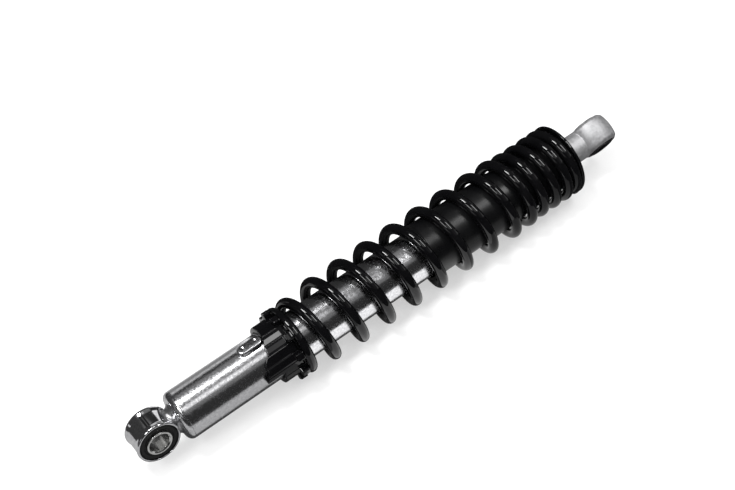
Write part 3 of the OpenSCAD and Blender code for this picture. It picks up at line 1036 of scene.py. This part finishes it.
def seen_directly(tree):
    """Value that is 1 for what the camera sees, also in a reflection or through glass."""
    path = tree.nodes.new("ShaderNodeLightPath")
    value = path.outputs["Is Camera Ray"]
    for name in ("Is Glossy Ray", "Is Transmission Ray"):
        both = tree.nodes.new("ShaderNodeMath")
        both.operation = "MAXIMUM"
        tree.links.new(value, both.inputs[0])
        tree.links.new(path.outputs[name], both.inputs[1])
        value = both.outputs["Value"]
    return value


def scaled(tree, value, low, high):
    """Turns a value of 0 or 1 into low or high."""
    node = tree.nodes.new("ShaderNodeMapRange")
    node.inputs["To Min"].default_value = low
    node.inputs["To Max"].default_value = high
    tree.links.new(value, node.inputs["Value"])
    return node.outputs["Result"]


def add_world():
    """White background, and a gentle even fill."""
    world = bpy.data.worlds.new("studio")
    bpy.context.scene.world = world
    world.use_nodes = True
    background = world.node_tree.nodes["Background"]
    background.inputs["Color"].default_value = (1, 1, 1, 1)
    strength = scaled(world.node_tree, seen_directly(world.node_tree), FILL_LEVEL, 1.0)
    world.node_tree.links.new(strength, background.inputs["Strength"])


def matt_material(name, colour):
    """Matt sheet of one colour, which takes the shock's shadow."""
    material = bpy.data.materials.new(name)
    material.use_nodes = True
    shader = material.node_tree.nodes["Principled BSDF"]
    shader.inputs["Base Color"].default_value = colour
    shader.inputs["Roughness"].default_value = MATT_ROUGHNESS
    shader.inputs["Specular IOR Level"].default_value = 0.0
    return material


def floor_material():
    """Pale matt sheet that is lifted a little towards white, and keeps the shadow."""
    material = matt_material("pale_sheet", FLOOR_COLOUR)
    tree = material.node_tree
    shader = tree.nodes["Principled BSDF"]
    glow = tree.nodes.new("ShaderNodeEmission")
    mix = tree.nodes.new("ShaderNodeMixShader")
    tree.links.new(scaled(tree, seen_directly(tree), 0.0, FLOOR_LIFT), mix.inputs["Fac"])
    tree.links.new(shader.outputs["BSDF"], mix.inputs[1])
    tree.links.new(glow.outputs["Emission"], mix.inputs[2])
    tree.links.new(mix.outputs["Shader"], tree.nodes["Material Output"].inputs["Surface"])
    return material


def stage_plane(name, corners, material):
    """Flat sheet of the stage through four corners, in metres."""
    mesh = bpy.data.meshes.new(name)
    mesh.from_pydata(corners, [], [(0, 1, 2, 3)])
    mesh.materials.append(material)
    plane = bpy.data.objects.new(name, mesh)
    bpy.context.scene.collection.objects.link(plane)
    return plane


def card_material(name, level):
    """Card of an even grey, whatever light falls on it."""
    material = bpy.data.materials.new(name)
    material.use_nodes = True
    tree = material.node_tree
    glow = tree.nodes.new("ShaderNodeEmission")
    glow.inputs["Color"].default_value = (level, level, level, 1)
    tree.links.new(glow.outputs["Emission"], tree.nodes["Material Output"].inputs["Surface"])
    return material


def level_corners(x_span, y_span, z):
    """Corners of a level sheet."""
    left, right = x_span
    front, back = y_span
    return [(left, front, z), (right, front, z), (right, back, z), (left, back, z)]


def add_card(name, corners, material):
    """Sheet that shows in polished surfaces and nowhere else."""
    card = stage_plane(name, corners, material)
    card.visible_camera = False
    card.visible_diffuse = False
    card.visible_transmission = False
    card.visible_shadow = False


def add_side_card(name, y, span, low, high, level):
    """Upright card beside the shock, from one angle to another above the level of its axis."""
    left, right = span
    bottom, top = (abs(y) * math.tan(math.radians(angle)) for angle in (low, high))
    corners = [(left, y, bottom), (right, y, bottom), (right, y, top), (left, y, top)]
    add_card(name, corners, card_material(name, level))


def add_end_card(name, x, floor_z, level):
    """Card across one end of the stage."""
    side = CARD_SIDE
    corners = [(x, -side, floor_z), (x, side, floor_z), (x, side, END_CARD_TOP), (x, -side, END_CARD_TOP)]
    add_card(name, corners, card_material(name, level))


def add_ceiling(name, span, level):
    """Card over the shock, from one station to another."""
    corners = level_corners(span, (-CEILING_HALF, CEILING_HALF), CEILING_Z)
    add_card(name, corners, card_material(name, level))


def add_cards(floor_z):
    """Cards beside, over and under the shock, dark floor cards of painted shadow, and a grey sheet on the
    floor, for polished surfaces to show.
    """
    left, right = CARD_ENDS
    for name, card in CARDS.items():
        add_side_card(name, *card)
    for name, (span, level) in EYE_STREAKS.items():
        add_side_card(name, STREAK_SIDE, span, *STREAK_ANGLES, level)
    add_end_card("card_left", left, floor_z, LEFT_LEVEL)
    add_end_card("card_right", right, floor_z, DARK_LEVEL)
    add_ceiling("card_ceiling_left", (-CEILING_HALF, CEILING_SPLIT), CEILING_LEVELS[0])
    add_ceiling("card_ceiling_right", (CEILING_SPLIT, CEILING_HALF), CEILING_LEVELS[1])
    sheet = level_corners((left, CARD_SPLIT), (-CARD_SIDE, CARD_SIDE), floor_z + SHEET_HEIGHT)
    add_card("sheet", sheet, matt_material("grey_sheet", SHEET_COLOUR))
    # Floor cards, the darkest of which are painted shadow under and beside the shock, seen only in
    # reflections
    for name, (x_span, y_span, level) in FLOOR_CARDS.items():
        corners = level_corners(x_span, y_span, floor_z + 2 * SHEET_HEIGHT)
        add_card(name, corners, card_material(name, level))


def add_lamp(name, low, high, span, level):
    """Soft box over the shock from one angle to another, of an even brightness."""
    left, right = span
    width = 2 * LAMP_DISTANCE * math.tan(math.radians((high - low) / 2))
    data = bpy.data.lights.new(name, "AREA")
    data.shape = "ELLIPSE" if name in ROUND_LAMPS else "RECTANGLE"
    data.size = right - left
    data.size_y = width
    data.energy = level * math.pi * data.size * width
    lamp = bpy.data.objects.new(name, data)
    a = math.radians((low + high) / 2)
    out = Vector((0, math.cos(a), math.sin(a)))
    across = out.cross(Vector((1, 0, 0)))
    turn = Matrix((Vector((1, 0, 0)), across, out)).transposed()
    middle = Vector(((left + right) / 2, 0, 0))
    lamp.matrix_world = Matrix.Translation(middle + out * LAMP_DISTANCE) @ turn.to_4x4()
    lamp.visible_camera = False
    bpy.context.scene.collection.objects.link(lamp)


def add_stage():
    """Floor, background, cards, lamps and camera."""
    floor_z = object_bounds()[0].z
    reach = (-FLOOR_REACH, FLOOR_REACH)
    stage_plane("floor", level_corners(reach, reach, floor_z), floor_material())
    add_world()
    add_cards(floor_z)
    for name, lamp in LAMPS.items():
        add_lamp(name, *lamp)
    add_camera()
    bpy.context.scene.view_settings.view_transform = "Standard"


finish_cad_nodes()
build_pieces()
add_stage()
